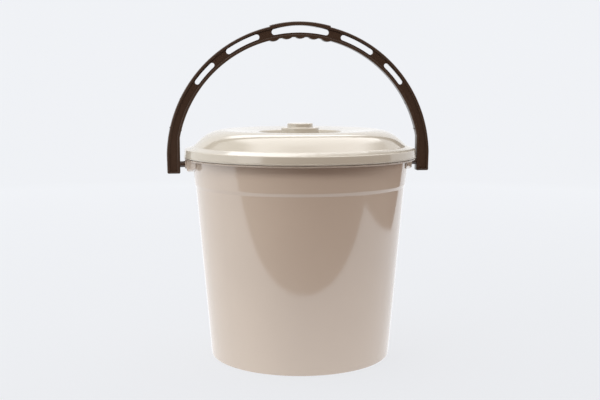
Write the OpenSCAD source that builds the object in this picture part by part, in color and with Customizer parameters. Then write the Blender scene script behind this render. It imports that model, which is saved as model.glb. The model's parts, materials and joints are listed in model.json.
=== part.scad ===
// Lidded wash bucket: a tapered pail, a lift-off lid and a swinging bail handle.
// Millimetres. +Z is up, the pail stands on z = 0 and the bail swings about X.

/* [Pail] */
// Outer radius of the pail at the floor
foot_r = 130.7; // [110:0.1:150]
// Growth of the wall's radius for each millimetre of height
taper = 0.083; // [0.05:0.001:0.1]
// Thickness of the pail's wall
wall_t = 2.2; // [1.6:0.1:3]
// Height at which the upper band starts
band_z = 249.6; // [200:0.1:265]
// How far the upper band stands out from the wall below it
band_step = 1.2; // [0.5:0.1:2.5]
// Height of the floor's underside above the ground
floor_lift = 5; // [3:0.5:10]
// Inner radius of the ring that the pail stands on
ring_inner_r = 125.5; // [105:0.1:126]
// Radius of the floor's raised centre panel
panel_r = 94; // [60:1:105]

/* [Rim] */
// Outer radius of the rim's curtain, under the lid's skirt
curtain_r = 163.5; // [163:0.1:163.8]
// Thickness of the rim and of its curtain
rim_t = 2.2; // [1.6:0.1:2.4]
// Height of the underside of the lip at the curtain's foot
lip_z = 286.8; // [285:0.1:287]
// Outer radius of the lip
lip_r = 167.5; // [165:0.1:168]

/* [Ears] */
// Distance of an ear's outer face from the pail's axis
ear_x = 164.5; // [160:0.1:165]
// Radius of the round bottom of an ear's tongue
tongue_r = 12; // [9:0.5:13]
// Half of the width that an ear's wings reach along the wall
wing_y = 33; // [20:1:40]
// Height of a collar over the face of its ear
collar_h = 2; // [1:0.5:4]
// Outer radius of a collar
collar_r = 6.6; // [6:0.1:8]

/* [Lid] */
// Outer radius of the skirt's lower edge
skirt_r = 168; // [167:0.1:168.5]
// Height of the skirt's lower edge
skirt_z = 289.6; // [289.3:0.1:291]
// Outer radius of the lid's shoulder
shoulder_r = 166.5; // [165.5:0.1:167]
// Height of the lid's shoulder
shoulder_z = 301; // [300:0.1:304]
// Fall of the shoulder for each millimetre outwards
shoulder_fall = 0.348; // [0.2:0.01:0.4]
// Thickness of the lid
lid_t = 2; // [1.5:0.1:2.2]
// Radius of the lid's crest
crest_r = 108; // [95:1:115]
// Height of the lid's crest
crest_z = 328.5; // [320:0.5:335]
// Radius of the curve between the crest and the shoulder
dome_r = 54; // [48:1:60]
// Radius of the edge of the dish round the knob
dish_r = 60; // [50:1:75]
// Height of the edge of the dish
dish_edge_z = 325.5; // [323:0.5:328]
// Height of the floor of the dish
dish_z = 319.3; // [316:0.1:322]

/* [Knob] */
// Radius of the knob's lower tier
knob_r = 27.5; // [22:0.5:35]
// Height of the top of the lower tier
knob_z = 331.5; // [328:0.5:334]
// Radius of the knob's upper tier
cap_r = 18.6; // [12:0.1:20]
// Height of the top of the upper tier
cap_z = 337.5; // [335:0.5:339]

/* [Handle] */
// Height of the pivots
pivot_z = 280; // [278:0.5:281]
// Radius of the bow's outer edge
bow_outer_r = 192.2; // [188:0.1:196]
// Height of the outer edge's centre above the pivots
bow_outer_up = 7.6; // [4:0.1:10]
// Radius of the bow's inner edge
bow_inner_r = 176.5; // [174:0.1:178]
// Height of the inner edge's centre above the pivots
bow_inner_up = 3.9; // [2:0.1:6]
// Distance of a leg's inner face from the pail's axis
leg_in = 173.2; // [172:0.1:175]
// Distance of a leg's outer face from the pail's axis
leg_out = 191.6; // [188:0.1:193]
// Length of a leg below the pivots
leg_below = 13.3; // [10:0.1:16]
// Depth of the handle from front to back
handle_d = 12; // [10:0.5:14]
// Width of the raised edges of the handle
flange_w = 3.9; // [3:0.1:5]
// Depth of the front trough below the edges
trough_d = 2.5; // [1.5:0.1:3.5]
// Thickness of the web between the edges
web_t = 3; // [2:0.1:4]

/* [Grip] */
// Half of the palm pad's length
pad_half = 43.7; // [35:0.1:50]
// Height of the middle of the palm pad over the bow
pad_rise = 2.6; // [1.5:0.1:4]
// Height of the ends of the palm pad over the bow
pad_end_rise = 1.8; // [0.5:0.1:3]
// Number of finger bumps
bumps = 5; // [3:2:5]
// Distance between finger bumps
bump_pitch = 18.8; // [16:0.1:20]
// Radius of a finger bump
bump_r = 12; // [9:0.5:16]
// Height of a finger bump under the bow
bump_h = 2.5; // [1:0.1:3]

/* [Slots] */
// Inner radius of the slots
slot_in = 181; // [179.5:0.1:182]
// Half of the angle that the top slot spans
top_half_deg = 12.9; // [10:0.1:14]
// Width of the top slot at its middle
top_w = 10.2; // [7:0.1:10.5]
// Width of the top slot at its ends
top_end_w = 8.2; // [6:0.1:9]
// Angle from the top at which each upper slot starts
upper_from = 18.6; // [17.5:0.1:22]
// Angle from the top at which each upper slot ends
upper_to = 34.9; // [30:0.1:36.5]
// Width of an upper slot
upper_w = 7.7; // [5:0.1:8.5]
// Angle from the top at which each lower slot starts
lower_from = 42.2; // [40.5:0.1:45]
// Angle from the top at which each lower slot ends
lower_to = 54.2; // [50:0.1:59]
// Width of a lower slot
lower_w = 6.7; // [5:0.1:8]

/* [Pivots] */
// Radius of a pivot pin
pin_r = 4.5; // [3.5:0.1:5]
// Clearance round a pivot pin in its bore
pin_gap = 0.07; // [0.03:0.01:0.1]
// Distance of a pivot pin's tip from the pail's axis
pin_tip = 156.6; // [156.4:0.1:158]

/* [Hidden] */
$fn = 120;
pail_colour = [0.76, 0.71, 0.65];
lid_colour = [0.80, 0.76, 0.70];
handle_colour = [0.24, 0.18, 0.14];
fillet_step = 18;                      // largest turn between two points of a fillet, degrees
over = 1;                              // how far a cut runs past a face
lid_gap = 0.4;                         // gap between the rim and the lid that rests on it
skirt_in = curtain_r + 0.7;            // the skirt's inner radius
shoulder_slant = sqrt(1 + shoulder_fall * shoulder_fall);
rim_drop = lid_t * shoulder_slant + lid_gap;
slot_mid_up = 5.7;                     // centre of the slots, above the pivots
rib_t = 1.8;                           // thickness of the ribs behind the web
leg_join = 15;                         // height over the pivots at which the legs meet the bow
end_wall = 2.6;                        // wall that closes a leg's end

function unit(v) = v / norm(v);

function flat(lists) = [for (list = lists) for (item = list) item];

function turned(angle) = angle > 180 ? angle - 360 : angle < -180 ? angle + 360 : angle;

// Corner i of a closed outline of [x, y, radius], as the points of its fillet
function corner(pts, i) =
    let (
        n = len(pts),
        p = [pts[i][0], pts[i][1]],
        before = pts[(i + n - 1) % n],
        after = pts[(i + 1) % n],
        u = unit([before[0], before[1]] - p),
        v = unit([after[0], after[1]] - p),
        half = acos(u * v) / 2,
        r = pts[i][2],
        start = p + u * r / tan(half),
        end = p + v * r / tan(half),
        centre = p + unit(u + v) * r / sin(half),
        from = atan2(start[1] - centre[1], start[0] - centre[0]),
        sweep = turned(atan2(end[1] - centre[1], end[0] - centre[0]) - from),
        steps = ceil(abs(sweep) / fillet_step)
    )
    [for (k = [0:steps]) centre + r * [cos(from + sweep * k / steps), sin(from + sweep * k / steps)]];

// A closed outline of [x, y, radius] with each corner of a radius above 0 filleted
function filleted(pts) =
    flat([for (i = [0:len(pts) - 1]) pts[i][2] > 0 ? corner(pts, i) : [[pts[i][0], pts[i][1]]]]);

// Points on an arc about [cx, cy]
function arc(cx, cy, r, from, to, steps) =
    [for (k = [0:steps]) [cx, cy] + r * [cos(from + (to - from) * k / steps), sin(from + (to - from) * k / steps)]];

// Outer radius of the pail's wall at a height, below and above the step
function wall_r(z) = foot_r + taper * z;
function band_r(z) = wall_r(z) + band_step;

// Height of the top of the lid's shoulder at a radius
function shoulder_top(r) = shoulder_z + (shoulder_r - r) * shoulder_fall;
function rim_top(r) = shoulder_top(r) - rim_drop;

// The dome leaves its arc at dome_last and runs straight down to the shoulder, or to its underside
dome_last = 46.7;
dome_cz = crest_z - dome_r;
function dome_foot(r, drop) =
    let (
        leaves = [crest_r + r * cos(dome_last), dome_cz + r * sin(dome_last)],
        height = leaves[1] - shoulder_top(leaves[0]) + drop,
        run = height / (cos(dome_last) - shoulder_fall * sin(dome_last))
    )
    leaves + run * [sin(dome_last), -cos(dome_last)];

// Section of the pail: foot ring, wall, step, band, rim, curtain and lip, then back down inside
module pail_section() {
    rim_z = rim_top(band_r(300));
    wall_in = band_r(300) - wall_t;
    polygon(filleted([
        [0, floor_lift + 1.5, 0],
        [panel_r, floor_lift + 1.5, 0],
        [panel_r + 2, floor_lift, 0],
        [ring_inner_r - 1, floor_lift, 1],
        [ring_inner_r, 0, 1],
        [foot_r, 0, 2.5],
        [wall_r(band_z - 2.5), band_z - 2.5, 0],
        [band_r(band_z + 2), band_z + 2, 0],
        [band_r(rim_z - rim_t - 1), rim_z - rim_t - 1, 1],
        [curtain_r - rim_t, rim_top(curtain_r - rim_t) - rim_t, 0.8],
        [curtain_r - rim_t, lip_z, 0],
        [lip_r, lip_z, 0.8],
        [lip_r, lip_z + 2, 0.8],
        [curtain_r, lip_z + 2, 0.6],
        [curtain_r, rim_top(curtain_r), 1.5],
        [wall_in, rim_top(wall_in), 1.2],
        [band_r(band_z + 2) - wall_t, band_z + 2, 0],
        [wall_r(band_z - 2.5) - wall_t, band_z - 2.5, 0],
        [wall_r(floor_lift + wall_t) - wall_t, floor_lift + wall_t, 8],
        [panel_r + 2, floor_lift + wall_t, 0],
        [panel_r, floor_lift + wall_t + 1.5, 0],
        [0, floor_lift + wall_t + 1.5, 0]
    ]));
}

// Side outline of an ear, along X: a round tongue between two wings
module ear_front() {
    translate([0, pivot_z]) circle(r = tongue_r);
    polygon([[-wing_y, lip_z + over], [-wing_y, pivot_z - 5], [-4, pivot_z - tongue_r + 0.7],
        [4, pivot_z - tongue_r + 0.7], [wing_y, pivot_z - 5], [wing_y, lip_z + over]]);
}

// Ear at +X: the tongue's block, its wings along the wall and the collar round the bore
module ear() {
    inside = 148;
    intersection() {
        translate([inside, 0, 0]) rotate([90, 0, 90]) linear_extrude(ear_x) ear_front();
        linear_extrude(lip_z + 2 * over)
            polygon([[inside, -wing_y], [ear_x - 11, -wing_y], [ear_x, -tongue_r],
                [ear_x, tongue_r], [ear_x - 11, wing_y], [inside, wing_y]]);
        translate([0, wing_y + over, 0]) rotate([90, 0, 0]) linear_extrude(2 * (wing_y + over))
            polygon([[inside, 0], [ear_x - 3, 0], [ear_x - 3, pivot_z - tongue_r], [ear_x, pivot_z - 4],
                [ear_x, lip_z + over], [inside, lip_z + over]]);
    }
    translate([ear_x - over, 0, pivot_z]) rotate([0, 90, 0])
        cylinder(r = collar_r, h = collar_h + over);
}

module pail() {
    color(pail_colour)
    difference() {
        union() {
            rotate_extrude() pail_section();
            difference() {
                union() {
                    ear();
                    mirror([1, 0, 0]) ear();
                }
                translate([0, 0, band_z]) cylinder(r1 = band_r(band_z) - wall_t / 2,
                    r2 = band_r(300) - wall_t / 2, h = 300 - band_z);
            }
        }
        for (side = [-1, 1])
            translate([side * (ear_x + collar_h + over), 0, pivot_z]) rotate([0, -side * 90, 0])
                cylinder(r = pin_r + pin_gap, h = ear_x + collar_h + over - pin_tip + 0.6);
    }
}

// Section of the lid: skirt, shoulder, dome, dish and knob, then back along the underside
module lid_section() {
    under_shoulder = lid_t * shoulder_slant;
    foot = dome_foot(dome_r, 0);
    under_foot = dome_foot(dome_r - lid_t, under_shoulder);
    polygon(filleted([
        [skirt_in, skirt_z, 0.4],
        [skirt_r, skirt_z, 0.8],
        [skirt_r, skirt_z + 1.6, 0.6],
        [shoulder_r, shoulder_z, 1.6],
        [foot[0], foot[1], 3],
        each [for (p = arc(crest_r, dome_cz, dome_r, dome_last, 90, 8)) [p[0], p[1], 0]],
        [dish_r, dish_edge_z, 2],
        [dish_r - 4, dish_z, 1.5],
        [knob_r, dish_z, 1.5],
        [knob_r, knob_z, 1.6],
        [cap_r, knob_z, 0.8],
        [cap_r, cap_z, 1.6],
        [0, cap_z, 0],
        [0, cap_z - lid_t, 0],
        [cap_r - lid_t, cap_z - lid_t, 0.8],
        [cap_r - lid_t, knob_z - lid_t, 0.8],
        [knob_r - lid_t, knob_z - lid_t, 0.8],
        [knob_r - lid_t, dish_z - lid_t, 0.8],
        [dish_r - 4 + lid_t, dish_z - lid_t, 1.5],
        [dish_r + lid_t, dish_edge_z - lid_t, 1.5],
        each [for (p = arc(crest_r, dome_cz, dome_r - lid_t, 90, dome_last, 8)) [p[0], p[1], 0]],
        [under_foot[0], under_foot[1], 1.5],
        [skirt_in, shoulder_top(skirt_in) - under_shoulder, 0.6]
    ]));
}

module lid() {
    color(lid_colour) rotate_extrude() lid_section();
}

// Outline of the bow and its legs, with both edges moved inwards by an inset
module bow(inset) {
    leg_end = -leg_below + (inset > 0 ? end_wall : 0);
    join_x = sqrt(pow(bow_outer_r - inset, 2) - pow(leg_join - bow_outer_up, 2));
    difference() {
        union() {
            intersection() {
                translate([0, bow_outer_up]) circle(r = bow_outer_r - inset, $fn = 240);
                translate([-bow_outer_r, leg_join]) square([2 * bow_outer_r, 2 * bow_outer_r]);
            }
            polygon([[-leg_out + inset, leg_end], [leg_out - inset, leg_end],
                [join_x, leg_join], [-join_x, leg_join]]);
        }
        intersection() {
            translate([0, bow_inner_up]) circle(r = bow_inner_r + inset, $fn = 240);
            translate([-leg_in - inset, -leg_below - over])
                square([2 * (leg_in + inset), 2 * bow_outer_r]);
        }
    }
}

// Palm pad on the outside of the bow: a flatter arc between two upright ends
module palm_pad() {
    end_y = bow_outer_up + sqrt(bow_outer_r * bow_outer_r - pad_half * pad_half) + pad_end_rise;
    top_y = bow_outer_up + bow_outer_r + pad_rise;
    sag = top_y - end_y;
    pad_r = (pad_half * pad_half + sag * sag) / (2 * sag);
    intersection() {
        translate([0, top_y - pad_r]) circle(r = pad_r, $fn = 240);
        translate([-pad_half, end_y - 12]) square([2 * pad_half, 40]);
        difference() {
            circle(r = bow_outer_r + 20, $fn = 240);
            translate([0, bow_outer_up]) circle(r = bow_outer_r - flange_w / 2, $fn = 240);
        }
    }
}

// Row of round finger bumps on the inside of the bow
module finger_bumps() {
    tip_r = bow_inner_r - bump_h;
    intersection() {
        for (k = [0:bumps - 1])
            translate([0, bow_inner_up])
                rotate((k - (bumps - 1) / 2) * bump_pitch / bow_inner_r * 180 / PI)
                    translate([0, tip_r + bump_r]) circle(r = bump_r);
        translate([0, bow_inner_up]) circle(r = bow_inner_r + flange_w / 2, $fn = 240);
    }
}

// Slot between two angles from the top, with round ends and a crown on its outer edge
module slot(from, to, w, crown = 0) {
    mid_r = slot_in + w / 2;
    end_turn = w / 2 / mid_r * 180 / PI;
    first = from + end_turn;
    last = to - end_turn;
    steps = ceil((last - first) / 2);
    function at(turn, r) = r * [sin(turn), cos(turn)];
    function crowned(k) = slot_in + w + crown * sin(180 * k / steps);
    translate([0, slot_mid_up]) polygon([
        each [for (k = [0:steps]) at(first + (last - first) * k / steps, slot_in)],
        each [for (k = [1:7]) at(last, mid_r) + at(last + 180 - 22.5 * k, w / 2)],
        each [for (k = [steps:-1:0]) at(first + (last - first) * k / steps, crowned(k))],
        each [for (k = [1:7]) at(first, mid_r) + at(first - 22.5 * k, w / 2)]
    ]);
}

module all_slots() {
    slot(-top_half_deg, top_half_deg, top_end_w, top_w - top_end_w);
    for (side = [0, 1]) mirror([side, 0]) {
        slot(upper_from, upper_to, upper_w);
        slot(lower_from, lower_to, lower_w);
    }
}

// Behind the web: stiffening ribs between the slots and down the legs, and a block behind each pin
module rear_ribs() {
    between = [(top_half_deg + upper_from) / 2, (upper_to + lower_from) / 2, 63, 76];
    for (side = [-1, 1]) {
        for (angle = between)
            translate([0, slot_mid_up]) rotate(side * angle)
                translate([-rib_t / 2, bow_inner_r - 6]) square([rib_t, 30]);
        translate([side * (leg_in + leg_out) / 2, 0]) square([leg_out - leg_in, 2 * pin_r - 2], center = true);
    }
}

// A plate lying in the XZ plane, between two places along Y
module plate(front, back) {
    translate([0, back, pivot_z]) rotate([90, 0, 0]) linear_extrude(back - front) children();
}

module handle() {
    front = -handle_d / 2;
    web_front = front + trough_d;
    web_back = web_front + web_t;
    color(handle_colour) {
        difference() {
            plate(front, -front) {
                bow(0);
                palm_pad();
                finger_bumps();
            }
            plate(front - over, web_front) bow(flange_w);
            plate(web_back, -front + over) difference() {
                bow(flange_w);
                rear_ribs();
            }
            plate(front - over, -front + over) all_slots();
        }
        for (side = [-1, 1])
            translate([side * pin_tip, 0, pivot_z]) rotate([0, side * 90, 0])
                cylinder(r = pin_r, h = leg_in + 1 - pin_tip);
    }
}

pail();
lid();
handle();
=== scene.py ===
"""A lidded wash bucket in glossy plastic, with a dark bail handle, on a pale studio floor."""

import json
from math import acos, asin, atan2, ceil, cos, degrees, pi, radians, sin, sqrt, tan

import bpy
from bpy.props import FloatProperty, FloatVectorProperty, IntProperty, PointerProperty
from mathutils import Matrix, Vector

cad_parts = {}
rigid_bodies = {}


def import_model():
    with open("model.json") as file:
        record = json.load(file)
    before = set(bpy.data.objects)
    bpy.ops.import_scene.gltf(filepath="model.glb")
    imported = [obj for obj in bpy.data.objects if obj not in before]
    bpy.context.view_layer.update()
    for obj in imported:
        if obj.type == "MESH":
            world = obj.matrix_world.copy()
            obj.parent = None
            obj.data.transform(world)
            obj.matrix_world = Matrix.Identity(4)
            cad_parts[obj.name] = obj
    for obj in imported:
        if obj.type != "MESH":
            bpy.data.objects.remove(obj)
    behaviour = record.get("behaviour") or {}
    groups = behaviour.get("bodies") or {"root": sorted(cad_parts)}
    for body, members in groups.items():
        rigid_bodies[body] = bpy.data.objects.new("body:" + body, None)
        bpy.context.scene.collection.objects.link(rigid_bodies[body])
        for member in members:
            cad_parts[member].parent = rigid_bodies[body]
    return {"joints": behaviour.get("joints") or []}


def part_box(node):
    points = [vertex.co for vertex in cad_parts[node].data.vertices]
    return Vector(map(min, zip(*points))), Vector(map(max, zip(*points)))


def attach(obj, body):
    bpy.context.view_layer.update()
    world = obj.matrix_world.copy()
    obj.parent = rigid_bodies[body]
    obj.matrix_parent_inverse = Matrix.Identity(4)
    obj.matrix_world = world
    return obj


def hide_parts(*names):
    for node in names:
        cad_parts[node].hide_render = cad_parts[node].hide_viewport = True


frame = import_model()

bl_info = {
    "name": "Wash Bucket",
    "version": (1, 0, 0),
    "blender": (4, 5, 0),
    "location": "View3D > Sidebar > Bucket",
    "description": "Builds a lidded wash bucket with a swinging handle, and the studio it stands in",
    "category": "Add Mesh",
}

MM = 0.001
FILLET_STEP = radians(15)
HOLD = 0.5 * MM
SMOOTH_ANGLE = radians(32)
WELD = 0.0002 * MM
WHITE, COOL_WHITE, WARM_WHITE = (1.0, 1.0, 1.0), (0.88, 0.97, 1.0), (1.0, 0.97, 0.93)

PAIL_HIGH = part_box("pail")[1]
LID_LOW, LID_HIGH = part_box("lid")
HANDLE_LOW, HANDLE_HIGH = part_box("handle")
PIVOT_Z = next(joint["pos_m"][2] for joint in frame["joints"] if joint["name"] == "handle_swing")


def length(name, default, description):
    """A size that the sidebar shows in the scene's units."""
    return FloatProperty(
        name=name, description=description, default=default, min=0.0, unit="LENGTH", precision=4
    )


def colour(name, default, description):
    """A colour that the sidebar shows as a swatch."""
    return FloatVectorProperty(
        name=name, description=description, default=default, size=3, min=0.0, max=1.0, subtype="COLOR"
    )


def share(name, default, description):
    """A plain number from 0 to 1."""
    return FloatProperty(
        name=name, description=description, default=default, min=0.0, max=1.0, subtype="FACTOR"
    )


class PailShape(bpy.types.PropertyGroup):
    """Sizes of the pail."""

    foot_radius: length("Foot radius", 0.1307, "Outer radius of the wall at the ground")
    taper: share("Taper", 0.083, "Growth of the wall's radius with height")
    wall: length("Wall", 0.0022, "Thickness of the wall")
    band_height: length("Band height", 0.2496, "Height of the step under the upper band")
    band_step: length("Band step", 0.0012, "How far the upper band stands out")
    floor_lift: length("Floor lift", 0.005, "Height of the floor's underside")
    ring_inner: length("Ring inside", 0.1255, "Inner radius of the ring that the pail stands on")
    panel_radius: length("Floor panel", 0.094, "Radius of the raised centre of the floor")
    curtain_radius: length("Curtain radius", 0.1635, "Outer radius of the rim's curtain")
    lip_height: length("Lip height", 0.0020, "Height of the lip at the curtain's foot")
    lip_underside: length("Lip underside", 0.2868, "Height of the lip's underside")
    ear_face: length("Ear face", 0.1645, "Distance of an ear's outer face from the axis")
    ear_wing: length("Ear wing", 0.033, "Half of the width of an ear along the wall")
    collar_radius: length("Collar radius", 0.0066, "Outer radius of the collar round a bore")
    bore_radius: length("Bore radius", 0.00457, "Radius of the bore in an ear")


class LidShape(bpy.types.PropertyGroup):
    """Sizes of the lid."""

    skirt_inside: length("Skirt inside", 0.1642, "Inner radius of the skirt")
    shoulder_radius: length("Shoulder radius", 0.1665, "Outer radius of the shoulder")
    shoulder_height: length("Shoulder height", 0.301, "Height of the shoulder's outer edge")
    shoulder_fall: share("Shoulder fall", 0.348, "Fall of the shoulder outwards")
    wall: length("Wall", 0.002, "Thickness of the lid")
    crest_radius: length("Crest radius", 0.108, "Radius of the dome's highest ring")
    crest_height: length("Crest height", 0.3285, "Height of the dome's highest ring")
    dome_radius: length("Dome radius", 0.054, "Radius of the dome's curve")
    dish_radius: length("Dish radius", 0.060, "Radius of the edge of the dish round the knob")
    dish_edge_height: length("Dish edge height", 0.3255, "Height of the edge of the dish")
    dish_height: length("Dish height", 0.3193, "Height of the floor of the dish")
    knob_radius: length("Knob radius", 0.0275, "Radius of the knob's lower tier")
    knob_height: length("Knob height", 0.3315, "Height of the top of the lower tier")
    cap_radius: length("Cap radius", 0.0186, "Radius of the knob's upper tier")


class HandleShape(bpy.types.PropertyGroup):
    """Sizes of the bail handle."""

    outer_radius: length("Outer radius", 0.1922, "Radius of the bow's outer edge")
    outer_rise: length("Outer rise", 0.0076, "Height of the outer edge's centre over the pivots")
    inner_radius: length("Inner radius", 0.1765, "Radius of the bow's inner edge")
    inner_rise: length("Inner rise", 0.0039, "Height of the inner edge's centre over the pivots")
    leg_inside: length("Leg inside", 0.1732, "Distance of a leg's inner face from the axis")
    leg_outside: length("Leg outside", 0.1916, "Distance of a leg's outer face from the axis")
    leg_below: length("Leg below pivot", 0.0133, "Length of a leg below the pivots")
    flange: length("Flange", 0.0039, "Width of the raised edges")
    trough: length("Front trough", 0.0025, "Depth of the front trough")
    web: length("Web", 0.003, "Thickness of the web between the edges")
    edge_round: length("Edge rounding", 0.0017, "Rounding of the outer edges")
    pad_half: length("Pad half length", 0.0437, "Half of the palm pad's length")
    pad_rise: length("Pad rise", 0.0026, "Height of the middle of the pad over the bow")
    pad_end_rise: length("Pad end rise", 0.0018, "Height of the ends of the pad over the bow")
    bumps: IntProperty(name="Finger bumps", description="Number of finger bumps", default=5, min=1, max=7)
    bump_pitch: length("Bump pitch", 0.0188, "Distance between finger bumps")
    bump_radius: length("Bump radius", 0.012, "Radius of a finger bump")
    bump_height: length("Bump height", 0.0025, "Height of a finger bump")
    pin_radius: length("Pin radius", 0.0045, "Radius of a pivot pin")
    pin_tip: length("Pin tip", 0.1566, "Distance of a pin's tip from the axis")


class PlasticLook(bpy.types.PropertyGroup):
    """Colours and gloss of the plastics."""

    pail_colour: colour("Pail", (0.440, 0.358, 0.292), "Colour of the pail")
    lid_colour: colour("Lid", (0.455, 0.405, 0.335), "Colour of the lid")
    handle_colour: colour("Handle", (0.048, 0.027, 0.017), "Colour of the handle")
    body_gloss: share("Body roughness", 0.09, "Roughness of the pail and the lid")
    handle_gloss: share("Handle roughness", 0.30, "Roughness of the handle")


class StudioLook(bpy.types.PropertyGroup):
    """The camera, the lights and the floor."""

    camera_place: FloatVectorProperty(
        name="Camera place", description="Where the camera stands", default=(-0.2058, -1.3525, 0.395),
        size=3, subtype="TRANSLATION"
    )
    camera_dip: FloatProperty(
        name="Camera dip", description="How far the camera looks down", default=radians(7.08), subtype="ANGLE"
    )
    camera_turn: FloatProperty(
        name="Camera turn", description="How far the camera is turned to its right", default=radians(8.65),
        subtype="ANGLE"
    )
    camera_lens: FloatProperty(name="Lens", description="Focal length in millimetres", default=56.5, min=10.0)
    floor_colour: colour("Floor", (0.90, 0.915, 0.945), "Colour of the floor and of the wall round it")
    sky_strength: FloatProperty(name="Sky", description="Strength of the even light", default=0.75, min=0.0)
    key_power: FloatProperty(
        name="Key light", description="Power of the large light on the left", default=18.0, min=0.0, unit="POWER"
    )
    front_power: FloatProperty(
        name="Front light", description="Power of the high light in front", default=28.0, min=0.0, unit="POWER"
    )
    fill_power: FloatProperty(name="Fill light", description="Power of the light on the right", default=12.0,
                              min=0.0, unit="POWER")
    top_power: FloatProperty(name="Top light", description="Power of the light overhead", default=10.0,
                             min=0.0, unit="POWER")


# Outlines: lists of (x, z) points, in metres


def arc(centre, radius, start, end, steps):
    """Points on an arc, both ends among them."""
    turns = [start + (end - start) * k / steps for k in range(steps + 1)]
    return [Vector((centre[0] + radius * cos(turn), centre[1] + radius * sin(turn))) for turn in turns]


def corner(before, here, after, radius):
    """The fillet of one corner, with a holding point on each side that keeps the flats flat."""
    to_before, to_after = (before - here).normalized(), (after - here).normalized()
    half = acos(max(-1.0, min(1.0, to_before.dot(to_after)))) / 2
    start, end = here + to_before * radius / tan(half), here + to_after * radius / tan(half)
    centre = here + (to_before + to_after).normalized() * radius / sin(half)
    first = atan2(start.y - centre.y, start.x - centre.x)
    sweep = atan2(end.y - centre.y, end.x - centre.x) - first
    sweep = (sweep + pi) % (2 * pi) - pi
    curve = arc(centre, radius, first, first + sweep, max(2, ceil(abs(sweep) / FILLET_STEP - 0.25)))
    return [start + to_before * HOLD, *curve, end + to_after * HOLD]


def filleted(corners, closed=False):
    """An outline of (x, z, radius) corners with its corners rounded."""
    places = [Vector(item[:2]) for item in corners]
    count, points = len(corners), []
    for i, (here, item) in enumerate(zip(places, corners)):
        at_end = not closed and i in (0, count - 1)
        if item[2] == 0 or at_end:
            points.append(here)
        else:
            points += corner(places[i - 1], here, places[(i + 1) % count], item[2])
    return points


# Modelling by hand: a primitive, then edit mode


def deselect():
    """Nothing is selected when a new piece starts."""
    bpy.ops.object.select_all(action="DESELECT")


def named(name):
    """Name the new object and its mesh."""
    piece = bpy.context.object
    piece.name = name
    piece.data.name = name
    return piece


def edit(mode):
    """Enter edit mode with a kind of element to select."""
    bpy.ops.object.mode_set(mode="EDIT")
    bpy.ops.mesh.select_mode(type=mode)


def leave_edit():
    bpy.ops.object.mode_set(mode="OBJECT")


def rest_at_origin(piece):
    """Put the piece's place into its mesh."""
    deselect()
    piece.select_set(True)
    bpy.context.view_layer.objects.active = piece
    bpy.ops.object.transform_apply(location=True, rotation=True, scale=True)


def trace(name, points, place):
    """Draw a wire by extruding one vertex through points, and leave all of it selected in edit mode."""
    spots = [Vector(place(*point)) for point in points]
    deselect()
    bpy.ops.mesh.primitive_plane_add(size=MM, location=spots[0])
    piece = named(name)
    edit("VERT")
    bpy.ops.mesh.select_all(action="SELECT")
    bpy.ops.mesh.merge(type="CENTER")
    for here, there in zip(spots, spots[1:]):
        bpy.ops.mesh.extrude_region_move(TRANSFORM_OT_translate={"value": there - here})
    bpy.ops.mesh.select_all(action="SELECT")
    return piece


def tidy_mesh():
    """Merge doubles and turn every face outwards, in edit mode."""
    bpy.ops.mesh.select_all(action="SELECT")
    bpy.ops.mesh.remove_doubles(threshold=WELD)
    bpy.ops.mesh.normals_make_consistent(inside=False)


def spun(name, outline, steps):
    """Turn an outline of (radius, height) points round the upright axis into a closed shell."""
    piece = trace(name, outline, lambda r, z: (r, 0, z))
    bpy.ops.mesh.spin(steps=steps, angle=2 * pi, center=(0, 0, 0), axis=(0, 0, 1))
    tidy_mesh()
    leave_edit()
    rest_at_origin(piece)
    return piece


def slab(name, outline, place, depth):
    """Fill an outline and extrude it by a depth vector."""
    piece = trace(name, outline, place)
    bpy.ops.mesh.edge_face_add()
    bpy.ops.mesh.extrude_region_move(TRANSFORM_OT_translate={"value": depth})
    tidy_mesh()
    leave_edit()
    rest_at_origin(piece)
    return piece


def upright_slab(name, outline, front, back):
    """A slab standing in the handle's plane, from front to back, its outline counted from the pivots."""
    return slab(name, outline, lambda x, z: (x, front, PIVOT_Z + z), Vector((0, back - front, 0)))


def select_vertices(piece, first, last):
    """Select a run of vertices by their numbers, in edit mode."""
    edit("VERT")
    bpy.ops.mesh.select_all(action="DESELECT")
    leave_edit()
    for vertex in piece.data.vertices[first:last]:
        vertex.select = True
    edit("VERT")


def lofted(name, rings, place):
    """Draw closed rings of equally many points, bridge each to the next, and fill the two end ones."""
    if len({len(ring) for ring in rings}) > 1:
        raise RuntimeError(f"the rings of {name} have different numbers of points")
    wires = []
    for ring in rings:
        wires.append(trace(name, ring, place))
        bpy.ops.mesh.edge_face_add()
        bpy.ops.mesh.delete(type="ONLY_FACE")
        leave_edit()
        rest_at_origin(wires[-1])
    piece = joined(name, wires)
    count = len(rings[0])
    for k in range(len(rings) - 1):
        select_vertices(piece, k * count, (k + 2) * count)
        bpy.ops.mesh.bridge_edge_loops()
    for k in (0, len(rings) - 1):
        select_vertices(piece, k * count, (k + 1) * count)
        bpy.ops.mesh.edge_face_add()
        bpy.ops.mesh.quads_convert_to_tris()
    tidy_mesh()
    leave_edit()
    return piece


def rod(name, radius, start, end, bevel=0.0, vertices=64):
    """A round bar between two points, with bevelled ends."""
    start, end = Vector(start), Vector(end)
    run = end - start
    deselect()
    bpy.ops.mesh.primitive_cylinder_add(
        vertices=vertices, radius=radius, depth=run.length, location=(start + end) / 2,
        rotation=run.to_track_quat("Z", "Y").to_euler()
    )
    piece = named(name)
    if bevel:
        edit("EDGE")
        bpy.ops.mesh.select_all(action="DESELECT")
        leave_edit()
        for edge in piece.data.edges:
            ends = [piece.data.vertices[i].co.z for i in edge.vertices]
            edge.select = abs(ends[0] - ends[1]) < WELD
        edit("EDGE")
        bpy.ops.mesh.bevel(offset=bevel, segments=3, affect="EDGES")
        leave_edit()
    rest_at_origin(piece)
    return piece


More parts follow.
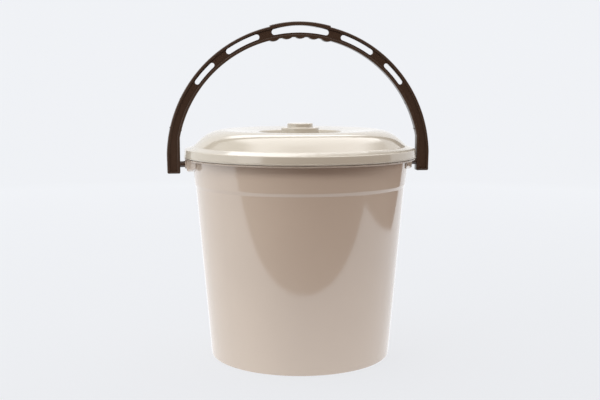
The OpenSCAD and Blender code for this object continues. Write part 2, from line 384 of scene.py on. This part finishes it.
def joined(name, pieces):
    """One object from several that don't touch."""
    deselect()
    for piece in pieces:
        piece.select_set(True)
    bpy.context.view_layer.objects.active = pieces[0]
    if len(pieces) > 1:
        bpy.ops.object.join()
    return named(name)


def carve(piece, tool, operation):
    """Add the tool to the piece, or cut it out, and throw the tool away."""
    deselect()
    bpy.context.view_layer.objects.active = piece
    piece.select_set(True)
    bpy.ops.object.modifier_add(type="BOOLEAN")
    step = piece.modifiers[-1]
    step.object = tool
    step.operation = operation
    step.solver = "MANIFOLD"
    bpy.ops.object.modifier_apply(modifier=step.name)
    bpy.data.objects.remove(tool)
    if not piece.data.polygons:
        raise RuntimeError(f"{piece.name} vanished when it was carved")
    return piece


def bevel_where(piece, wanted, width, segments):
    """Round the edges whose two ends pass a test."""
    deselect()
    piece.select_set(True)
    bpy.context.view_layer.objects.active = piece
    edit("EDGE")
    bpy.ops.mesh.select_all(action="DESELECT")
    leave_edit()
    spots = [vertex.co for vertex in piece.data.vertices]
    picked = 0
    for edge in piece.data.edges:
        edge.select = wanted(spots[edge.vertices[0]], spots[edge.vertices[1]])
        picked += edge.select
    if not picked:
        raise RuntimeError(f"{piece.name} has no such edge to round")
    edit("EDGE")
    bpy.ops.mesh.bevel(offset=width, segments=segments, affect="EDGES", clamp_overlap=False)
    leave_edit()


def smooth(piece):
    """Shade smooth, with creases where faces meet at a sharp angle."""
    deselect()
    piece.select_set(True)
    bpy.context.view_layer.objects.active = piece
    bpy.ops.object.shade_smooth_by_angle(angle=SMOOTH_ANGLE)


def finish_piece(piece, body, material):
    """Give the piece its body and its plastic, and hide the CAD node that it stands in for."""
    edit("VERT")
    tidy_mesh()
    leave_edit()
    smooth(piece)
    piece.data.materials.clear()
    piece.data.materials.append(material)
    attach(piece, body)
    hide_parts(body)


# Materials


class Signal:
    """A number that varies over a surface: arithmetic on it adds Math nodes."""

    def __init__(self, tree, socket):
        self.tree = tree
        self.socket = socket

    def _with(self, operation, first, second):
        node = self.tree.nodes.new("ShaderNodeMath")
        node.operation = operation
        for entry, value in zip(node.inputs, (first, second)):
            plug(self.tree, entry, value)
        return Signal(self.tree, node.outputs[0])

    def __add__(self, other):
        return self._with("ADD", self, other)

    def __sub__(self, other):
        return self._with("SUBTRACT", self, other)

    def __rsub__(self, other):
        return self._with("SUBTRACT", other, self)

    def __mul__(self, other):
        return self._with("MULTIPLY", self, other)

    __radd__ = __add__
    __rmul__ = __mul__


def plug(tree, entry, value):
    """Link a signal to a socket, or set the socket to a plain value."""
    if isinstance(value, Signal):
        tree.links.new(value.socket, entry)
    else:
        entry.default_value = value


class Finish:
    """A material under construction."""

    def __init__(self, name):
        self.material = bpy.data.materials.new(name)
        self.material.use_nodes = True
        self.tree = self.material.node_tree
        self.tree.nodes.clear()

    def node(self, kind, settings=None, output=0, **values):
        """Add a node: its settings first, then its sockets, named with underscores for spaces."""
        node = self.tree.nodes.new(kind)
        for key, value in (settings or {}).items():
            setattr(node, key, value)
        for key, value in values.items():
            plug(self.tree, node.inputs[key.replace("_", " ")], value)
        return Signal(self.tree, node.outputs[output])

    def place(self):
        """Object coordinates, in metres."""
        return self.node("ShaderNodeTexCoord", output="Object")

    def noise(self, scale, detail=2.0, stretch=(1.0, 1.0, 1.0)):
        """Soft noise from 0 to 1, with so many features to the metre."""
        spot = self.node("ShaderNodeMapping", Vector=self.place(), Scale=stretch)
        return self.node("ShaderNodeTexNoise", Vector=spot, Scale=scale, Detail=detail)

    def done(self, shader):
        output = self.tree.nodes.new("ShaderNodeOutputMaterial")
        self.tree.links.new(shader.socket, output.inputs["Surface"])
        return self.material


def moulded_plastic(name, base, roughness, specular, ripple, grain, grain_size):
    """Injection-moulded plastic: faint cloudiness in its colour, uneven gloss and a slightly rippled skin."""
    finish = Finish(name)
    cloud = finish.noise(9.0, 3.0)
    drift = finish.noise(30.0, 2.0, stretch=(1.0, 1.0, 0.25))
    lighter = tuple(min(1.0, part * 1.05) for part in base) + (1.0,)
    darker = tuple(part * 0.95 for part in base) + (1.0,)
    tint = finish.tree.nodes.new("ShaderNodeMix")
    tint.data_type = "RGBA"
    plug(finish.tree, tint.inputs["Factor"], cloud)
    plug(finish.tree, tint.inputs["A"], darker)
    plug(finish.tree, tint.inputs["B"], lighter)
    gloss = roughness + (drift - 0.5) * (roughness * 0.5)
    height = finish.noise(22.0, 1.0) * ripple + finish.noise(grain_size, 2.0) * grain
    skin = finish.node("ShaderNodeBump", Height=height, Strength=1.0, Distance=1.0)
    shader = finish.node(
        "ShaderNodeBsdfPrincipled",
        Base_Color=Signal(finish.tree, tint.outputs["Result"]),
        Roughness=gloss,
        Normal=skin,
        IOR=1.5,
        Specular_IOR_Level=specular,
    )
    return finish.done(shader)


def glowing_paper(name, base, own_light):
    """The studio's pale floor and wall: much of their brightness is their own, so shadows stay faint."""
    finish = Finish(name)
    shade = finish.noise(3.0, 2.0) * 0.02 + 0.98
    tint = finish.tree.nodes.new("ShaderNodeMix")
    tint.data_type = "RGBA"
    tint.blend_type = "MULTIPLY"
    plug(finish.tree, tint.inputs["Factor"], 1.0)
    plug(finish.tree, tint.inputs["A"], (*(part * (1 - own_light) for part in base), 1.0))
    plug(finish.tree, tint.inputs["B"], shade)
    shader = finish.node(
        "ShaderNodeBsdfPrincipled",
        Base_Color=Signal(finish.tree, tint.outputs["Result"]),
        Roughness=0.9,
        Specular_IOR_Level=0.0,
        Emission_Color=(*(part * own_light for part in base), 1.0),
        Emission_Strength=1.0,
    )
    return finish.done(shader)


# Pail


def lid_shoulder(shape, r):
    """Height of the top of the lid's shoulder at a radius."""
    return shape.shoulder_height + (shape.shoulder_radius - r) * shape.shoulder_fall


def pail_outline(pail, lid):
    """The pail's section: floor, foot ring, wall, band, rim, curtain and lip, and back down inside."""
    slant = sqrt(1 + lid.shoulder_fall ** 2)
    rim_gap = 0.0004

    def wall(z):
        return pail.foot_radius + pail.taper * z

    def band(z):
        return wall(z) + pail.band_step

    def rim(r):
        return lid_shoulder(lid, r) - lid.wall * slant - rim_gap

    lift, thick, step_z = pail.floor_lift, pail.wall, pail.band_height
    rim_out = band(0.3)
    rim_in = rim_out - thick
    curtain = pail.curtain_radius
    curtain_in = curtain - thick
    under, over = step_z - 0.0025, step_z + 0.002
    lip_top = pail.lip_underside + pail.lip_height
    panel_rise = 0.0015
    return filleted([
        (0, lift + panel_rise, 0),
        (pail.panel_radius, lift + panel_rise, 0.001),
        (pail.panel_radius + 0.002, lift, 0.001),
        (pail.ring_inner - 0.001, lift, 0.001),
        (pail.ring_inner, 0, 0.001),
        (pail.foot_radius, 0, 0.0025),
        (wall(under), under, 0.0022),
        (band(over), over, 0.0022),
        (band(rim(rim_out) - thick - 0.001), rim(rim_out) - thick - 0.001, 0.001),
        (curtain_in, rim(curtain_in) - thick, 0.0008),
        (curtain_in, pail.lip_underside, 0.0004),
        (PAIL_HIGH.y, pail.lip_underside, 0.0008),
        (PAIL_HIGH.y, lip_top, 0.0008),
        (curtain, lip_top, 0.0006),
        (curtain, rim(curtain), 0.0015),
        (rim_in, rim(rim_in), 0.001),
        (band(over) - thick, over, 0.002),
        (wall(under) - thick, under, 0.002),
        (wall(lift + thick) - thick, lift + thick, 0.008),
        (pail.panel_radius + 0.002, lift + thick, 0.001),
        (pail.panel_radius, lift + thick + panel_rise, 0.001),
        (0, lift + thick + panel_rise, 0),
    ])


def ear(pail, side):
    """One ear: a tongue with two wings that run back to the wall, and a collar round the bore."""
    wing, tongue_half = pail.ear_wing, 0.012
    top = pail.lip_underside + 0.001
    wing_low, tongue_low = PIVOT_Z - 0.005, PIVOT_Z - 0.0121
    inside, wing_face, spare = 0.148, 0.1535, 0.002
    shoulder = tongue_low + (wing_low - tongue_low) * tongue_half / wing
    front_view = filleted([
        (wing, top, 0), (-wing, top, 0), (-wing, wing_low, 0.002), (-tongue_half, shoulder, 0.004),
        (0, tongue_low, 0.012), (tongue_half, shoulder, 0.004), (wing, wing_low, 0.002),
    ], closed=True)
    piece = slab("ear", front_view, lambda y, z: (side * inside, y, z), Vector((side * 0.02, 0, 0)))
    low = tongue_low - spare
    top_view = filleted([
        (inside - spare, -wing - spare, 0), (wing_face - spare, -wing - spare, 0),
        (pail.ear_face, -tongue_half, 0.004), (pail.ear_face, tongue_half, 0.004),
        (wing_face - spare, wing + spare, 0), (inside - spare, wing + spare, 0),
    ], closed=True)
    plan = slab("plan", top_view, lambda x, y: (side * x, y, low), Vector((0, 0, top + spare - low)))
    carve(piece, plan, "INTERSECT")
    edge = 0.003

    def lower_face_edge(a, b):
        return all(abs(spot.x) > inside + MM and spot.z < wing_low + spare for spot in (a, b)) and (
            abs(a.x) > wing_face - spare and (a - b).xy.length > WELD and abs(a.z - b.z) < abs(a.y - b.y)
        )

    bevel_where(piece, lower_face_edge, edge, 4)
    collar = rod(
        "collar", pail.collar_radius, (side * (pail.ear_face - MM), 0, PIVOT_Z),
        (side * (pail.ear_face + 2 * MM), 0, PIVOT_Z), bevel=0.0004
    )
    return carve(piece, collar, "UNION")


class BUCKET_OT_pail(bpy.types.Operator):
    """Build the pail with its two ears"""

    bl_idname = "bucket.pail"
    bl_label = "Pail"
    bl_options = {"REGISTER", "UNDO"}

    def execute(self, context):
        pail, lid, look = context.scene.bucket_pail, context.scene.bucket_lid, context.scene.bucket_plastic
        piece = spun("pail_shell", pail_outline(pail, lid), 192)
        for side in (-1, 1):
            lug = ear(pail, side)
            middle = pail.foot_radius + pail.band_step - pail.wall / 2
            deselect()
            bpy.ops.mesh.primitive_cone_add(
                vertices=192, radius1=middle + pail.taper * 0.25, radius2=middle + pail.taper * 0.3,
                depth=0.05,
                location=(0, 0, 0.275)
            )
            core = named("core")
            rest_at_origin(core)
            carve(lug, core, "DIFFERENCE")
            carve(piece, lug, "UNION")
            carve(piece, rod("bore", pail.bore_radius, (side * 0.156, 0, PIVOT_Z), (side * 0.17, 0, PIVOT_Z)),
                  "DIFFERENCE")
        plastic = moulded_plastic(
            "pail plastic", look.pail_colour, look.body_gloss, 0.9, 0.00006, 0.000002, 900.0
        )
        finish_piece(piece, "pail", plastic)
        return {"FINISHED"}


# Lid


def dome_foot(lid, last, radius, drop):
    """Where the dome's straight foot meets the shoulder, or its underside at a drop below it."""
    centre_z = lid.crest_height - lid.dome_radius
    leaves = Vector((lid.crest_radius + radius * cos(last), centre_z + radius * sin(last)))
    height = leaves.y - lid_shoulder(lid, leaves.x) + drop
    return leaves + height / (cos(last) - lid.shoulder_fall * sin(last)) * Vector((sin(last), -cos(last)))


def lid_outline(lid):
    """The lid's section: knob, dish, dome, shoulder, skirt and bead, and back along the underside."""
    last = radians(46.7)
    thick = lid.wall
    centre = (lid.crest_radius, lid.crest_height - lid.dome_radius)
    drop = thick * sqrt(1 + lid.shoulder_fall ** 2)
    foot = dome_foot(lid, last, lid.dome_radius, 0)
    under_foot = dome_foot(lid, last, lid.dome_radius - thick, drop)
    edge_low, edge_r, cap_top = LID_LOW.z, LID_HIGH.y, LID_HIGH.z
    bead = 0.0017
    dish_foot = lid.dish_radius - 0.004
    over = [(point.x, point.y, 0) for point in arc(centre, lid.dome_radius, pi / 2, last, 14)]
    under = [(point.x, point.y, 0) for point in arc(centre, lid.dome_radius - thick, last, pi / 2, 14)]
    return filleted([
        (0, cap_top, 0),
        (lid.cap_radius, cap_top, 0.0018),
        (lid.cap_radius, lid.knob_height, 0.0010),
        (lid.knob_radius, lid.knob_height, 0.0018),
        (lid.knob_radius, lid.dish_height, 0.0015),
        (dish_foot, lid.dish_height, 0.002),
        (lid.dish_radius, lid.dish_edge_height, 0.0025),
        *over,
        (foot.x, foot.y, 0.003),
        (lid.shoulder_radius, lid.shoulder_height, 0.0016),
        (lid.shoulder_radius + 0.0009, edge_low + bead + 0.0007, 0.0003),
        (edge_r, edge_low + bead, 0.0006),
        (edge_r, edge_low, 0.0007),
        (lid.skirt_inside, edge_low, 0.0004),
        (lid.skirt_inside, lid_shoulder(lid, lid.skirt_inside) - drop, 0.0006),
        (under_foot.x, under_foot.y, 0.0015),
        *under,
        (lid.dish_radius + thick, lid.dish_edge_height - thick, 0.0015),
        (dish_foot + thick, lid.dish_height - thick, 0.0015),
        (lid.knob_radius - thick, lid.dish_height - thick, 0.0008),
        (lid.knob_radius - thick, lid.knob_height - thick, 0.0008),
        (lid.cap_radius - thick, lid.knob_height - thick, 0.0008),
        (lid.cap_radius - thick, cap_top - thick, 0.0008),
        (0, cap_top - thick, 0),
    ])


class BUCKET_OT_lid(bpy.types.Operator):
    """Build the lid with its knob"""

    bl_idname = "bucket.lid"
    bl_label = "Lid"
    bl_options = {"REGISTER", "UNDO"}

    def execute(self, context):
        lid, look = context.scene.bucket_lid, context.scene.bucket_plastic
        piece = spun("lid_shell", lid_outline(lid), 192)
        plastic = moulded_plastic(
            "lid plastic", look.lid_colour, look.body_gloss, 0.9, 0.00006, 0.000002, 900.0
        )
        finish_piece(piece, "lid", plastic)
        return {"FINISHED"}


# Handle


LEG_JOIN = 0.015


def outer_edge(handle, inset, relief):
    """The bow's outer edge from the right leg to the left one, with the palm pad if relief is 1."""
    radius = handle.outer_radius - inset
    centre = (0, handle.outer_rise)
    first = asin((LEG_JOIN - handle.outer_rise) / radius)
    pad_turn = acos(handle.pad_half / radius)
    pad_foot = handle.outer_rise + sqrt(radius ** 2 - handle.pad_half ** 2)
    pad_end = pad_foot + handle.pad_end_rise * relief
    pad_top = handle.outer_rise + radius + handle.pad_rise * relief
    sag = pad_top - pad_end
    pad_radius = (handle.pad_half ** 2 + sag ** 2) / (2 * sag)
    pad_half_turn = asin(handle.pad_half / pad_radius)
    return [
        *arc(centre, radius, first, pad_turn, 40),
        *arc((0, pad_top - pad_radius), pad_radius, pi / 2 - pad_half_turn, pi / 2 + pad_half_turn, 24),
        *arc(centre, radius, pi - pad_turn, pi - first, 40),
    ]


def inner_edge(handle, inset, relief):
    """The bow's inner edge from the left leg to the right one, with the finger bumps if relief is 1."""
    radius, centre = handle.inner_radius + inset, (0, handle.inner_rise)
    bump = handle.bump_radius - inset
    last = acos((handle.leg_inside + inset) / radius)
    reach = handle.inner_radius - handle.bump_height + handle.bump_radius
    part = acos((radius ** 2 + reach ** 2 - bump ** 2) / (2 * radius * reach))
    swing = asin(radius * sin(part) / bump)
    middles = [
        pi / 2 - (k - (handle.bumps - 1) / 2) * handle.bump_pitch / handle.inner_radius
        for k in range(handle.bumps)
    ]
    points = arc(centre, radius, pi - last, middles[0] + part, 40)[:-1]
    for k, middle in enumerate(middles):
        hub = (reach * cos(middle), handle.inner_rise + reach * sin(middle))
        points += [
            flat.lerp(round_one, relief) for flat, round_one in zip(
                arc(centre, radius, middle + part, middle - part, 10),
                arc(hub, bump, middle + pi - swing, middle + pi + swing, 10),
            )
        ]
        if k + 1 < len(middles):
            points += arc(centre, radius, middle - part, middles[k + 1] + part, 3)[1:-1]
    return points + arc(centre, radius, middles[-1] - part, last, 40)[1:]


def bow_outline(handle, inset, end_inset, end_round, relief):
    """The handle's closed outline in its own plane, moved inwards, by its own amount at the ends."""
    low = end_inset - handle.leg_below
    outside, inside = handle.leg_outside - inset, handle.leg_inside + inset
    over, under = outer_edge(handle, inset, relief), inner_edge(handle, inset, relief)
    join = over[0].x
    left = filleted([(-join, LEG_JOIN, 0), (-outside, low, end_round), (-inside, low, end_round),
                     (-inside, LEG_JOIN, 0)])
    right = filleted([(inside, LEG_JOIN, 0), (inside, low, end_round), (outside, low, end_round),
                      (join, LEG_JOIN, 0)])
    return [*over, *left[1:-1], *under, *right[1:-1]]


def slot_outline(first, last, inner, width, crown=0.0):
    """A slot between two angles from the top, with round ends and a crown on its outer edge."""
    rise = 0.0057
    middle = inner + width / 2
    first, last = first + width / 2 / middle, last - width / 2 / middle
    steps = ceil(degrees(last - first) / 2)

    def at(turn, r):
        return Vector((r * sin(turn), r * cos(turn)))

    turns = [first + (last - first) * k / steps for k in range(steps + 1)]
    crowned = [inner + width + crown * sin(pi * k / steps) for k in range(steps + 1)]
    end_turns = [pi * k / 10 for k in range(1, 10)]
    points = [at(turn, inner) for turn in turns]
    points += [at(last, middle) + at(last + pi - turn, width / 2) for turn in end_turns]
    points += [at(turn, r) for turn, r in zip(reversed(turns), reversed(crowned))]
    points += [at(first, middle) + at(first - turn, width / 2) for turn in end_turns]
    return [point + Vector((0, rise)) for point in points]


def slot_cutters(front, back):
    """The five slots as one tool."""
    inner = 0.181
    rows = [(-12.9, 12.9, 0.0082, 0.0020)]
    for side in (-1, 1):
        for start, end, width in ((18.6, 34.9, 0.0077), (42.2, 54.2, 0.0067)):
            rows.append((*sorted((side * start, side * end)), width, 0.0))
    cutters = [
        upright_slab("slot", slot_outline(radians(start), radians(end), inner, width, crown), front, back)
        for start, end, width, crown in rows
    ]
    return joined("slots", cutters)


def rib(handle, turn, front, back):
    """A thin radial rib behind the web."""
    half, rise = 0.0009, 0.0057
    near, far = handle.inner_radius - 0.001, handle.outer_radius + 0.001
    across, along = Vector((cos(turn), -sin(turn))), Vector((sin(turn), cos(turn)))
    outline = [along * r + across * s + Vector((0, rise))
               for r, s in ((near, -half), (near, half), (far, half), (far, -half))]
    return upright_slab("rib", outline, front, back)


def bow_body(handle, front, back, web_front, web_back):
    """The bow and the legs: two rounded flanges and a web, as rings from the front web to the rear."""
    flange, rim_round, end_wall, lean = handle.flange, 0.0010, 0.0026, 0.05 * MM
    section = filleted([
        (flange, web_front, 0), (flange, front + lean, rim_round), (0, front, handle.edge_round),
        (0, back, handle.edge_round), (flange, back - lean, rim_round), (flange, web_back, 0),
    ])
    rings = []
    for inset, depth in section:
        in_trough = inset > flange - rim_round - 2 * HOLD
        end_inset = min(inset, end_wall - (flange - inset)) if in_trough else inset
        end_round = handle.edge_round + 0.0003 - inset if not in_trough else 0.0008
        relief = 0.0 if in_trough else 1.0
        outline = bow_outline(handle, inset, end_inset, max(end_round, 0.0003), relief)
        rings.append([(point.x, PIVOT_Z + point.y, depth) for point in outline])
    return lofted("bail_handle", rings, lambda x, z, y: (x, y, z))


class BUCKET_OT_handle(bpy.types.Operator):
    """Build the bail handle with its grip, slots and pins"""

    bl_idname = "bucket.handle"
    bl_label = "Handle"
    bl_options = {"REGISTER", "UNDO"}

    def execute(self, context):
        handle, look = context.scene.bucket_handle, context.scene.bucket_plastic
        front, back = HANDLE_LOW.y, HANDLE_HIGH.y
        web_front = front + handle.trough
        web_back = web_front + handle.web
        piece = bow_body(handle, front, back, web_front, web_back)
        carve(piece, slot_cutters(front, back), "DIFFERENCE")
        inside = [rib(handle, side * radians(turn), web_back - MM, back - 1.2 * MM)
                  for side in (-1, 1) for turn in (15.75, 38.55, 63, 76)]
        for side in (-1, 1):
            near, far = sorted((side * (handle.leg_inside + 2 * MM), side * (handle.leg_outside - 2 * MM)))
            high = handle.pin_radius - MM
            block = [Vector(spot) for spot in ((near, -high), (far, -high), (far, high), (near, high))]
            inside.append(upright_slab("pin_block", block, web_back - MM, back - 1.2 * MM))
        carve(piece, joined("ribs", inside), "UNION")
        for side in (-1, 1):
            pin = rod("pin", handle.pin_radius, (side * handle.pin_tip, 0, PIVOT_Z),
                      (side * (handle.leg_inside + MM), 0, PIVOT_Z), bevel=0.0006)
            carve(piece, pin, "UNION")
        plastic = moulded_plastic(
            "handle plastic", look.handle_colour, look.handle_gloss, 0.6, 0.00003, 0.00002, 1400.0
        )
        finish_piece(piece, "handle", plastic)
        return {"FINISHED"}


# Studio


def softbox(name, place, aim, width, height, power, tint, receivers):
    """A soft light on the bucket alone, which gloss doesn't mirror."""
    deselect()
    bpy.ops.object.light_add(type="AREA", location=place)
    lamp = bpy.context.object
    lamp.name = name
    lamp.data.shape = "RECTANGLE"
    lamp.data.size, lamp.data.size_y = width, height
    lamp.data.energy = power
    lamp.data.color = tint
    lamp.rotation_euler = (Vector(aim) - Vector(place)).to_track_quat("-Z", "Y").to_euler()
    lamp.visible_glossy = False
    lamp.light_linking.receiver_collection = receivers
    return lamp


def off_camera(piece, diffuse):
    """The camera doesn't see the piece: gloss does, and soft light too if diffuse is true."""
    for kind in ("camera", "transmission", "volume_scatter", "shadow"):
        setattr(piece, f"visible_{kind}", False)
    piece.visible_diffuse = diffuse


def glowing(piece, name, colour):
    """Give the piece an even glow, and take it off camera."""
    finish = Finish(name)
    glow = finish.node("ShaderNodeEmission", Color=(*colour, 1.0), Strength=1.0)
    piece.data.materials.append(finish.done(glow))
    off_camera(piece, diffuse=True)
    return piece


def card(name, points, place, colour):
    """A flat glowing card off camera, from its corners."""
    piece = trace(name, [Vector(point) for point in points], place)
    bpy.ops.mesh.edge_face_add()
    leave_edit()
    rest_at_origin(piece)
    return glowing(piece, name, colour)


def screen(name, first_turn, last_turn, reach, top, place, colour):
    """A standing curved card off camera, between two turns counted from the camera to its right."""
    steps = 16
    turns = [first_turn + (last_turn - first_turn) * k / steps for k in range(steps + 1)]
    piece = trace(name, [Vector((reach * sin(turn), -reach * cos(turn))) for turn in turns],
                  lambda x, y: place(x, y, 0))
    bpy.ops.mesh.extrude_region_move(TRANSFORM_OT_translate={"value": Vector((0, 0, top))})
    leave_edit()
    rest_at_origin(piece)
    return glowing(piece, name, colour)


def glow_card(name, place, aim, width, height, glow, soft):
    """A glowing card that fades out at its edges, and that only gloss sees."""
    deselect()
    bpy.ops.mesh.primitive_plane_add(size=1, location=place)
    piece = named(name)
    piece.rotation_euler = (Vector(aim) - Vector(place)).to_track_quat("Z", "Y").to_euler()
    piece.scale = (width, height, 1)
    bpy.ops.object.transform_apply(location=False, rotation=False, scale=True)
    finish = Finish(name)
    spot = finish.node("ShaderNodeSeparateXYZ", Vector=finish.place())
    across = Signal(finish.tree, spot.socket.node.outputs["X"])
    along = Signal(finish.tree, spot.socket.node.outputs["Y"])
    mask = fade(finish, across, width, soft) * fade(finish, along, height, soft)
    clear = finish.node("ShaderNodeBsdfTransparent")
    light = finish.node("ShaderNodeEmission", Strength=glow)
    mixed = finish.tree.nodes.new("ShaderNodeMixShader")
    plug(finish.tree, mixed.inputs[0], mask)
    plug(finish.tree, mixed.inputs[1], clear)
    plug(finish.tree, mixed.inputs[2], light)
    piece.data.materials.append(finish.done(Signal(finish.tree, mixed.outputs[0])))
    off_camera(piece, diffuse=False)
    return piece


def fade(finish, where, extent, soft):
    """1 in the middle of an extent and 0 at its ends."""
    gap = 0.5 * extent - finish.node("ShaderNodeMath", {"operation": "ABSOLUTE"}, Value=where)
    ramp = finish.node("ShaderNodeMapRange", {"interpolation_type": "SMOOTHSTEP"}, Value=gap, From_Min=0.0,
                       From_Max=soft)
    return ramp


def facing_camera(turn):
    """Places counted to the right of the bucket and away from the camera, turned into the scene's own."""
    across, away = Vector((cos(turn), -sin(turn))), Vector((sin(turn), cos(turn)))
    return lambda x, y, z: (*(across * x + away * y), z)


def surroundings(turn):
    """What the bucket's surface sees round it: the white table, the dim room in front, the pale wall."""
    front_edge, front_slope, reach, under = -0.425, 0.076, 2.3, -0.002
    place = facing_camera(turn)
    corner_x, back_x, back_y = 0.97, 0.82, 0.45
    table = [(-reach, -reach), (reach, -reach), (reach, reach), (-reach, reach)]
    room = [(-reach, front_edge - front_slope * reach), (corner_x, front_edge + front_slope * corner_x),
            (back_x, back_y), (1.6, 1.8), (reach, 1.8), (reach, -reach), (-reach, -reach)]
    return [
        card("table_card", table, lambda x, y: place(x, y, 2 * under), (1.25, 1.28, 1.33)),
        card("room_card", room, lambda x, y: place(x, y, under), (0.22, 0.11, 0.06)),
        screen("room_screen", radians(-34), radians(95), reach, 1.4, place, (0.10, 0.06, 0.045)),
        screen("pale_screen", radians(95), radians(326), reach, 1.8, place, (1.05, 1.06, 1.08)),
    ]


class BUCKET_OT_studio(bpy.types.Operator):
    """Build the floor, the lights and the camera"""

    bl_idname = "bucket.studio"
    bl_label = "Studio"
    bl_options = {"REGISTER", "UNDO"}

    def execute(self, context):
        scene, studio = context.scene, context.scene.bucket_studio
        floor = spun("floor", filleted([(0, 0, 0), (3.4, 0, 0.9), (3.5, 1.7, 0)]), 96)
        smooth(floor)
        floor.data.materials.append(glowing_paper("studio paper", studio.floor_colour, 0.75))
        place = facing_camera(studio.camera_turn)
        cards = [
            glow_card("overhead glow", place(0.2, 1.2, 2.1), place(0.2, 0.8, 0.3), 3.0, 3.4, 3.2, 0.5),
            glow_card("left glow", place(-1.45, -1.3, 0.6), place(0, 0, 0.3), 1.0, 1.1, 1.9, 0.25),
        ]
        floor.visible_diffuse = floor.visible_glossy = False
        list(surroundings(studio.camera_turn))

        world = bpy.data.worlds.new("studio sky")
        world.use_nodes = True
        sky = world.node_tree.nodes["Background"]
        sky.inputs["Color"].default_value = (1.0, 1.0, 1.0, 1.0)
        sky.inputs["Strength"].default_value = studio.sky_strength
        scene.world = world

        lit = bpy.data.collections.new("lit by the soft lights")
        for piece in scene.objects:
            if piece.name in ("pail_shell", "lid_shell", "bail_handle"):
                lit.objects.link(piece)
        middle = (0, 0, 0.2)
        for name, spot, width, height, power, tint in (
            ("key light", place(-2.0, -0.5, 0.9), 1.2, 1.4, studio.key_power, COOL_WHITE),
            ("front light", place(-0.3, -1.9, 2.0), 1.0, 0.8, studio.front_power, WARM_WHITE),
            ("fill light", place(2.0, -0.3, 1.0), 1.0, 1.2, studio.fill_power, WHITE),
            ("top light", place(0.0, 0.0, 2.2), 1.6, 1.6, studio.top_power, WHITE),
        ):
            softbox(name, spot, middle, width, height, power, tint, lit)

        deselect()
        bpy.ops.object.camera_add(
            location=studio.camera_place, rotation=(pi / 2 - studio.camera_dip, 0, -studio.camera_turn)
        )
        camera = bpy.context.object
        camera.name = "camera"
        camera.data.lens = studio.camera_lens
        camera.data.clip_start = 0.05
        scene.camera = camera
        scene.view_settings.view_transform = "Standard"
        return {"FINISHED"}


class BUCKET_PT_sidebar(bpy.types.Panel):
    """Sizes, colours and buttons of the bucket"""

    bl_idname = "BUCKET_PT_sidebar"
    bl_label = "Wash Bucket"
    bl_space_type = "VIEW_3D"
    bl_region_type = "UI"
    bl_category = "Bucket"

    def draw(self, context):
        groups = ("bucket_pail", "bucket_lid", "bucket_handle", "bucket_plastic", "bucket_studio")
        for name in groups:
            group = getattr(context.scene, name)
            box = self.layout.box()
            box.label(text=name.split("_")[1].capitalize())
            for entry in group.__annotations__:
                box.prop(group, entry)
        for operator in ("bucket.pail", "bucket.lid", "bucket.handle", "bucket.studio"):
            self.layout.operator(operator)


GROUPS = {
    "bucket_pail": PailShape,
    "bucket_lid": LidShape,
    "bucket_handle": HandleShape,
    "bucket_plastic": PlasticLook,
    "bucket_studio": StudioLook,
}
OPERATORS = (BUCKET_OT_pail, BUCKET_OT_lid, BUCKET_OT_handle, BUCKET_OT_studio)


def register():
    for name, group in GROUPS.items():
        bpy.utils.register_class(group)
        setattr(bpy.types.Scene, name, PointerProperty(type=group))
    for operator in OPERATORS:
        bpy.utils.register_class(operator)
    bpy.utils.register_class(BUCKET_PT_sidebar)


def unregister():
    bpy.utils.unregister_class(BUCKET_PT_sidebar)
    for operator in reversed(OPERATORS):
        bpy.utils.unregister_class(operator)
    for name, group in reversed(GROUPS.items()):
        delattr(bpy.types.Scene, name)
        bpy.utils.unregister_class(group)


def main():
    register()
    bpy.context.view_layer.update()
    bpy.ops.bucket.pail()
    bpy.ops.bucket.lid()
    bpy.ops.bucket.handle()
    bpy.ops.bucket.studio()


if __name__ == "__main__":
    main()
